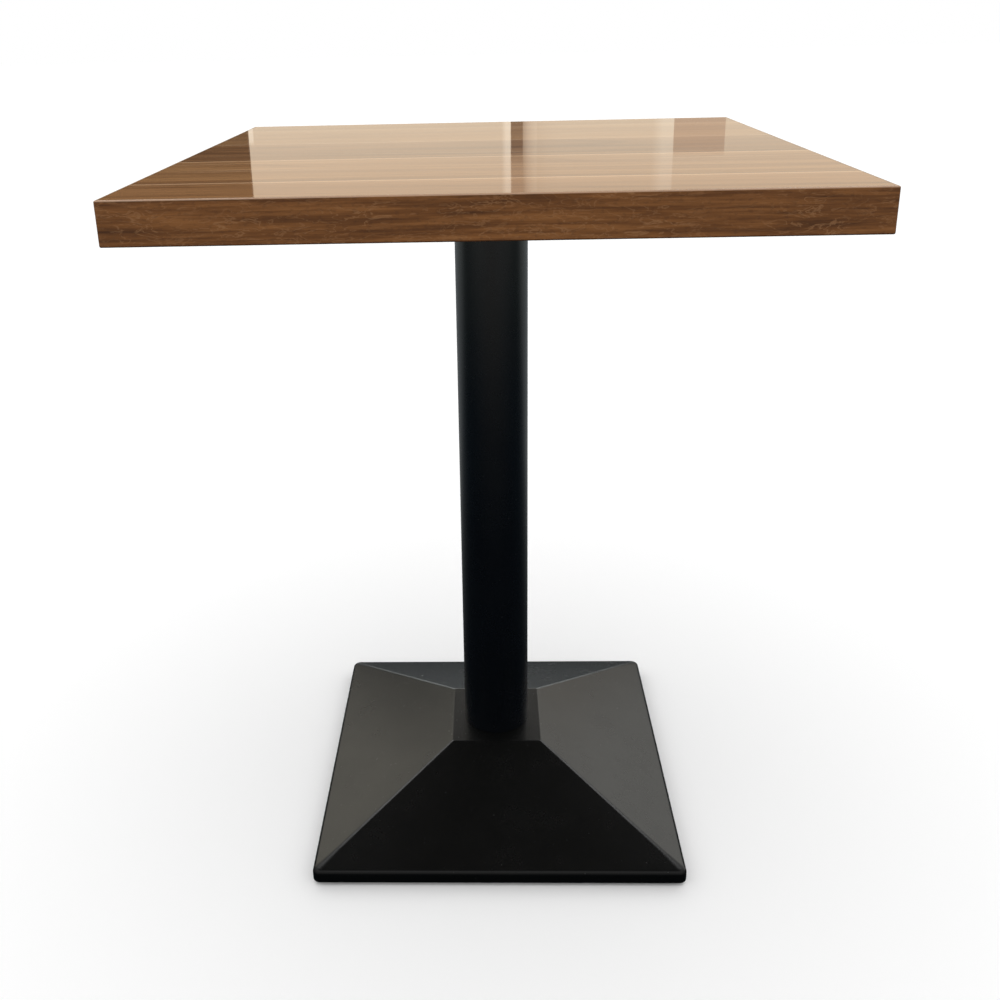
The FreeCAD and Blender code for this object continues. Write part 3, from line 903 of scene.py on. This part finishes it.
def spring_washer(bore, outer, low, high):
    """A split ring with slanted ends."""
    middle, lean = (low + high) / 2, math.tan(SPRING_SLANT)
    rings = []
    for k in range(81):
        ring = []
        for r, z in washer_section(bore, outer, low, high, 3):
            half_gap = SPRING_HALF_GAP / r
            slant = lean * (z - middle) / r
            angle = half_gap + slant + (2 * math.pi - 2 * half_gap) * k / 80
            ring.append(Vector((r * math.cos(angle), r * math.sin(angle), z)) * MM)
        rings.append(ring)
    return skin(rings, first_cap=True, last_cap=True)


def zinc_piece(name, shell, node, body="table"):
    finish_piece(new_object(name, *shell), body, "zinc_steel", node, 32)


def span(node):
    """A node's lowest and highest height and its outer radius, in millimetres, for a node on the axis."""
    low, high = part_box(node)
    return low.z / MM, high.z / MM, (high.x - low.x) / 2 / MM


def build_tie_rod():
    """One long rod, threaded at both ends, with a nut, a spring washer and a flat washer at each."""
    low, high, radius = span("tie_rod")
    count, end = 48, ROD_FOOT_THREAD_END
    head_thread = thread_rings(radius, ROD_THREAD, ROD_HEAD_THREAD_START, high, count, ROD_CHAMFER)
    foot_thread = mirrored(thread_rings(radius, ROD_THREAD, low, end, count), (low + end) / 2)
    for ring in foot_thread[:10]:
        for point in ring:
            limit = radius - ROD_CHAMFER + point.z / MM - low
            flat = math.hypot(point.x, point.y) / MM
            point.xy = point.xy * min(1.0, limit / flat)
    tip = [circle(radius - ROD_THREAD[0], low, count)]
    zinc_piece("rod", skin(tip + foot_thread + head_thread, first_cap=True, last_cap=True), "tie_rod")
    for end in ("top", "bottom"):
        node = "rod_" + end
        low, high, radius = span(node + "_washer")
        section = washer_section(ROD_RADIUS + 0.25, radius, low, high, 4)
        zinc_piece("washer_" + end, lathe(section, closed=True), node + "_washer")
        low, high, radius = span(node + "_spring_washer")
        spring = spring_washer(ROD_RADIUS + 0.1, SPRING_RADIUS, low, high)
        zinc_piece("spring_" + end, spring, node + "_spring_washer")
        low, high, radius = span(node + "_nut")
        zinc_piece("nut_" + end, nut(low, high), node + "_nut")


def screw():
    """A pan-head chipboard screw with a tapered cross recess, standing on its head on the axis."""
    seat = SPIDER_TOP - ARM_FLOOR
    head_low, count = seat - SCREW_HEAD_HEIGHT, 32
    head = [(1.0, head_low, 0), (SCREW_HEAD * 0.62, head_low, 1.5)]
    head += [(SCREW_HEAD, head_low + SCREW_HEAD_HEIGHT * 0.62, 1.2)]
    head += [(SCREW_HEAD, seat, 0.2), (SCREW_SHANK, seat, 0)]
    rings = [circle(r, z, count) for r, z in rounded_outline(head, 5)]
    tip = seat + SCREW_LENGTH
    rings += thread_rings(SCREW_SHANK, SCREW_THREAD, seat + 0.4, tip - 2 * SCREW_SHANK, count, steps=8)
    rings += [circle(SCREW_SHANK * share, tip - 2 * SCREW_SHANK * share, count) for share in (0.6, 0.3, 0.03)]
    made = new_object("screw", *skin(rings, first_cap=True, last_cap=True))
    length, width, depth = RECESS
    for turn in (0, 90):
        rings = []
        for z, share in ((head_low - 1, 1.0), (head_low + 0.3, 1.0), (head_low + depth, 0.55)):
            x, y = length / 2 * share, width / 2 * share ** 0.5
            rings.append([p * MM for p in rectangle(x, y, z)])
        combine(made, turned(skin(rings, first_cap=True, last_cap=True), turn), "DIFFERENCE")
    points = [v.co.copy() for v in made.data.vertices]
    faces = [tuple(p.vertices) for p in made.data.polygons]
    bpy.data.objects.remove(made)
    return points, faces


def build_screws():
    one = screw()
    turns = (12, 47, 81, 25, 66, 5, 38, 73)
    shells = [moved(turned(one, turn), *at) for turn, at in zip(turns, SCREW_SPOTS)]
    zinc_piece("screws", join_shells(shells), "spider_screws")


# ---- the glides ----


def glide_pad(high, radius):
    """A nylon foot with a ringed sole, snapped over the stud's head."""
    pocket, mouth = STUD_HEAD + 0.1, STUD_NECK + 0.1
    middle, seat = high - PAD_LIP / 2, high - PAD_LIP
    inside = [(mouth, middle, 0), (mouth, seat, 0.2), (pocket, seat, 0.2), (pocket, PAD_FLOOR, 0.2)]
    inside += [(1.0, PAD_FLOOR, 0)]
    outside = [(1.0, 0, 0)]
    for groove in (4.0, 8.0, 12.0):
        outside += [(groove - 0.5, 0, 0.1), (groove, PAD_GROOVE, 0.1), (groove + 0.5, 0, 0.1)]
    outside += [(radius, 0, 1.5), (radius, high - 1.0, 0.4), (radius - 1.0, high, 0.4), (mouth, high, 0.3)]
    outside += [(mouth, middle, 0)]
    return lathe(rounded_outline(inside, 3) + rounded_outline(outside, 4)[:-1], closed=True)


def glide_stud(low, high, radius):
    """A turned head and neck, a hexagon for a wrench and a thread, as one skin."""
    count = 96
    head = [(2.0, low, 0), (STUD_HEAD, low, 0.3), (STUD_HEAD, STUD_HEAD_TOP, 0.3)]
    head += [(STUD_NECK, STUD_HEAD_TOP, 0.3), (STUD_NECK, STUD_HEX[0], 0)]
    rings = [circle(r, z, count) for r, z in rounded_outline(head, 3)]
    rings += hexagon_rings(STUD_HEX_ACROSS, *STUD_HEX, count)
    rings.append(circle(radius, STUD_HEX[1], count))
    rings += thread_rings(radius, STUD_THREAD, STUD_HEX[1] + 0.2, high, count, 1.0)
    return skin(rings, first_cap=True, last_cap=True)


def build_glides():
    for corner in CORNERS:
        pad_low, pad_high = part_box("glide_pad_" + corner)
        stud_low, stud_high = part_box("glide_stud_" + corner)
        at = ((pad_low + pad_high) / 2 / MM).xy
        pad = glide_pad(pad_high.z / MM, (pad_high.x - pad_low.x) / 2 / MM)
        made = new_object("pad_" + corner, *moved(pad, *at))
        finish_piece(made, "pad_" + corner, "black_nylon", "glide_pad_" + corner, 35)
        stud = glide_stud(stud_low.z / MM, stud_high.z / MM, STUD_RADIUS)
        zinc_piece("stud_" + corner, moved(stud, *at), "glide_stud_" + corner, "stud_" + corner)


build_top()
build_base()
build_column()
build_spider()
build_tie_rod()
build_screws()
build_glides()


# ---- stage ----


GLOW_FULL = 2.0
FLOOR_HALF = 30.0
PLAIN = (1.0, 1.0, 1.0)
# the floor's colours in reflections, with painted shade darkest near the front of the table: along Y, and
# added to those with the distance from the middle
FLOOR_ALONG = [
    (-4.0, (0.42, 0.42, 0.40)), (-2.6, (0.32, 0.31, 0.29)), (-1.4, (0.05, 0.06, 0.07)),
    (-0.5, (0.008, 0.012, 0.018)), (0.1, (0.02, 0.025, 0.03)), (0.45, (0.10, 0.11, 0.115)),
    (0.8, (0.27, 0.285, 0.29)), (1.0, (0.27, 0.285, 0.29)),
]
FLOOR_ASIDE = [
    (0.0, (0.0, 0.0, 0.0)), (0.6, (0.0, 0.0, 0.0)), (1.0, (0.008, 0.020, 0.030)),
    (1.8, (0.010, 0.020, 0.030)), (2.9, (0.14, 0.18, 0.16)), (4.5, (0.18, 0.18, 0.17)),
]


def build_world():
    """A soft overhead studio, white behind the object, and in reflections dark but for a high band."""
    world = bpy.data.worlds.new("studio")
    bpy.context.scene.world = world
    s = Nodes(world)
    height = s.parts("Generated")[2]
    path = s.node("LightPath").outputs

    def by_height(stops):
        """A strength that changes with the sine of the elevation."""
        return s.times(s.ramp(height, [(place, level / GLOW_FULL) for place, level in stops]), GLOW_FULL)

    def choose(factor, a, b):
        inputs = {MIX_FACTOR: factor, MIX_FLOATS[0]: a, MIX_FLOATS[1]: b}
        return s.node("Mix", inputs, data_type="FLOAT").outputs[0]

    light = by_height([(0.0, 0.30), (1.0, 1.50)])
    sky = [(0.0, 0.12), (0.40, 0.25), (0.62, 0.30), (0.70, 0.6), (0.80, 0.6), (0.88, 0.12), (1.0, 0.03)]
    seen = choose(path["Is Glossy Ray"], light, by_height(sky))
    seen = choose(path["Is Camera Ray"], seen, 1.0)
    s.set_inputs(s.tree.nodes["Background"], {"Color": PLAIN, "Strength": seen})


def build_floor():
    """A pale floor, seen from above only.

    In reflections it is dark with painted shade near the front of the table and paler far from it. It glows
    under the base, where no light would reach the casting's inside.
    """
    s = Shader("floor")
    path = s.node("LightPath").outputs
    geometry = s.node("NewGeometry").outputs
    x, y, _ = s.node("SeparateXYZ", {0: geometry["Position"]}).outputs

    def diffuse(colour):
        return s.node("BsdfDiffuse", {"Color": colour}).outputs[0]

    def mixed(factor, a, b):
        return s.node("MixShader", {0: factor, 1: a, 2: b}).outputs[0]

    aside = s.graded(s.math("ABSOLUTE", x), FLOOR_ASIDE)
    mirrored_floor = diffuse(s.vectors("ADD", s.graded(y, FLOOR_ALONG), aside))
    seen = mixed(path["Is Glossy Ray"], diffuse((0.42, 0.41, 0.40)), mirrored_floor)
    inside = BASE_HIGH.x - 0.004
    inside = s.times(*[s.math("LESS_THAN", s.math("ABSOLUTE", value), inside) for value in (x, y)])
    seen = mixed(inside, seen, s.node("Emission", {"Strength": 0.8}).outputs[0])
    seen = mixed(path["Is Camera Ray"], seen, diffuse(PLAIN))
    seen = mixed(geometry["Backfacing"], seen, s.node("BsdfTransparent").outputs[0])
    corners = rectangle(FLOOR_HALF, FLOOR_HALF, 0)
    s.stand_in(seen, new_object("floor", corners, [(0, 1, 2, 3)]))


# the camera stands in front of the table and looks slightly down at it
CAMERA_PLACE = Vector((-0.0039, -1.0967, 0.8698))
CAMERA_YAW = -0.03484
CAMERA_PITCH = 0.34643
CAMERA_ROLL = -0.02392
CAMERA_LENS = 38.32
CAMERA_SHIFT = (0.0455, -0.0931)

WINDOW_LEFT = -3.5
WINDOW_RIGHT = 8.0
WINDOW_AWAY = 2.5
SILL_HALF = 0.9
SILL_LOW = 0.45
LAMP_HEIGHT = 2.5
LAMP_LEVEL = 2.0


def glow_panel(name, corners, across, up):
    """A panel that only reflections see, with a ramp along X times a ramp along Z, both in metres."""
    panel = new_object(name, corners, [(0, 1, 2, 3)])
    s = Shader(name)
    x, _, z = s.parts("Object")
    colour = s.mix(1.0, s.graded(x, across, GLOW_FULL), s.graded(z, up, GLOW_FULL), "MULTIPLY")
    glow = s.node("Emission", {"Color": colour, "Strength": GLOW_FULL * GLOW_FULL})
    panel.visible_camera = False
    panel.visible_diffuse = False
    panel.visible_shadow = False
    s.stand_in(glow.outputs[0], panel)


def flat(low, high, colour):
    """Stops of one colour between two places."""
    return [(low, colour), (high, colour)]


def upright(left, right, low, high, y):
    return [(left, y, low), (right, y, low), (right, y, high), (left, y, high)]


def seen_at(degrees, y):
    """Where a direction from the camera, in degrees to the right, meets a plane across Y."""
    return CAMERA_PLACE.x + (y - CAMERA_PLACE.y) * math.tan(math.radians(degrees))


def window_part(name, left, right, low, high, across, up=None):
    """A part of the window wall between two directions in degrees; its colours are evenly spaced."""
    y = WINDOW_AWAY - 0.02
    a, b = seen_at(left, y), seen_at(right, y)
    steps = [(a + (b - a) * k / (len(across) - 1), colour) for k, colour in enumerate(across)]
    glow_panel(name, upright(a, b, low, high, y), steps, up or flat(low, high, PLAIN))


def build_windows():
    """The room that the top mirrors.

    Behind the table there is a warm window band with a shaded left end, a dark post and a
    brown blind, paler lights above it at both sides and a dim sill below it. There is a
    lamp overhead to each side.
    """
    low, high, top = 0.88, 1.32, 2.6
    warm, bright = (0.86, 0.74, 0.58), (1.10, 0.98, 0.80)
    left_light, right_light = (1.40, 1.33, 1.14), (1.62, 1.60, 1.50)
    window = [
        (-44.0, left_light), (-24.0, left_light), (-22.0, warm), (1.9, warm), (2.4, (0.78, 0.66, 0.51)),
        (3.4, warm), (21.5, warm), (23.0, right_light), (65.0, right_light),
    ]
    above = [
        (-44.0, left_light), (-16.0, left_light), (-11.0, (0.55, 0.53, 0.50)), (10.0, (0.60, 0.58, 0.55)),
        (15.0, right_light), (65.0, right_light),
    ]
    fade = [(low, PLAIN), (0.90, PLAIN), (1.25, (0.88, 0.88, 0.88)), (high, (0.88, 0.88, 0.88))]
    for name, z_low, z_high, stops, up in (
        ("window", low, high, window, fade),
        ("window_above", high, top, above, flat(high, top, PLAIN)),
    ):
        across = [(seen_at(degrees, WINDOW_AWAY), colour) for degrees, colour in stops]
        glow_panel(name, upright(WINDOW_LEFT, WINDOW_RIGHT, z_low, z_high, WINDOW_AWAY), across, up)
    window_part("window_shade", -23.0, -12.32, low, high, [(0.02, 0.02, 0.02)] * 2)
    window_part("window_frame", -12.32, -12.08, low, 0.99, [bright] * 2)
    window_part("window_gap", 0.80, 1.29, low, high, [warm, bright, bright], fade)
    post = [(low, (0.17, 0.13, 0.10)), (1.02, (0.15, 0.115, 0.09))]
    post += [(1.08, (0.38, 0.30, 0.23)), (high, (0.50, 0.40, 0.31))]
    window_part("window_post", 1.29, 1.92, low, high, [PLAIN] * 2, post)
    beside = [(0.45, 0.37, 0.29), (0.68, 0.57, 0.45), (0.80, 0.68, 0.53), warm]
    window_part("window_beside", 1.92, 2.65, low, high, beside, fade)
    glint = (1.0, 0.89, 0.72)
    window_part("window_glint", 8.60, 9.68, low, high, [warm, glint, glint], fade)
    window_part("window_blind", 9.68, 12.24, low, 1.05, [(0.60, 0.47, 0.36)] * 2)
    window_part("window_transom", -11.0, 10.0, 1.55, top, [(0.30, 0.29, 0.27)] * 2)
    corners = upright(-SILL_HALF, SILL_HALF, SILL_LOW, low, WINDOW_AWAY)
    sill, brighter = (1.40, 1.50, 1.50), (1.5, 1.5, 1.5)
    glow_panel("window_sill", corners, flat(-SILL_HALF, SILL_HALF, sill), flat(SILL_LOW, low, brighter))
    lamp = (LAMP_LEVEL,) * 3
    for side in (-1, 1):
        a, b = sorted((side * 0.6, side * 1.4))
        corners = [(a, 0.9, LAMP_HEIGHT), (b, 0.9, LAMP_HEIGHT), (b, 1.8, LAMP_HEIGHT), (a, 1.8, LAMP_HEIGHT)]
        glow_panel("lamp", corners, flat(a, b, lamp), flat(LAMP_HEIGHT - 1, LAMP_HEIGHT + 1, lamp))


def build_camera():
    """The view from slightly above the top, a little off the middle."""
    ahead0 = Vector((math.sin(CAMERA_YAW), math.cos(CAMERA_YAW), 0))
    right0 = Vector((math.cos(CAMERA_YAW), -math.sin(CAMERA_YAW), 0))
    ahead = ahead0 * math.cos(CAMERA_PITCH) - Vector((0, 0, 1)) * math.sin(CAMERA_PITCH)
    up0 = Vector((0, 0, 1)) * math.cos(CAMERA_PITCH) + ahead0 * math.sin(CAMERA_PITCH)
    right = right0 * math.cos(CAMERA_ROLL) + up0 * math.sin(CAMERA_ROLL)
    up = up0 * math.cos(CAMERA_ROLL) - right0 * math.sin(CAMERA_ROLL)
    turning = Matrix((right, up, -ahead)).transposed().to_4x4()
    data = bpy.data.cameras.new("camera")
    data.sensor_width = 36.0
    data.lens = CAMERA_LENS
    data.shift_x, data.shift_y = CAMERA_SHIFT
    camera = bpy.data.objects.new("camera", data)
    camera.matrix_world = Matrix.Translation(CAMERA_PLACE) @ turning
    bpy.context.scene.collection.objects.link(camera)
    bpy.context.scene.camera = camera


build_world()
build_floor()
build_windows()
build_camera()
bpy.context.scene.view_settings.view_transform = "Standard"
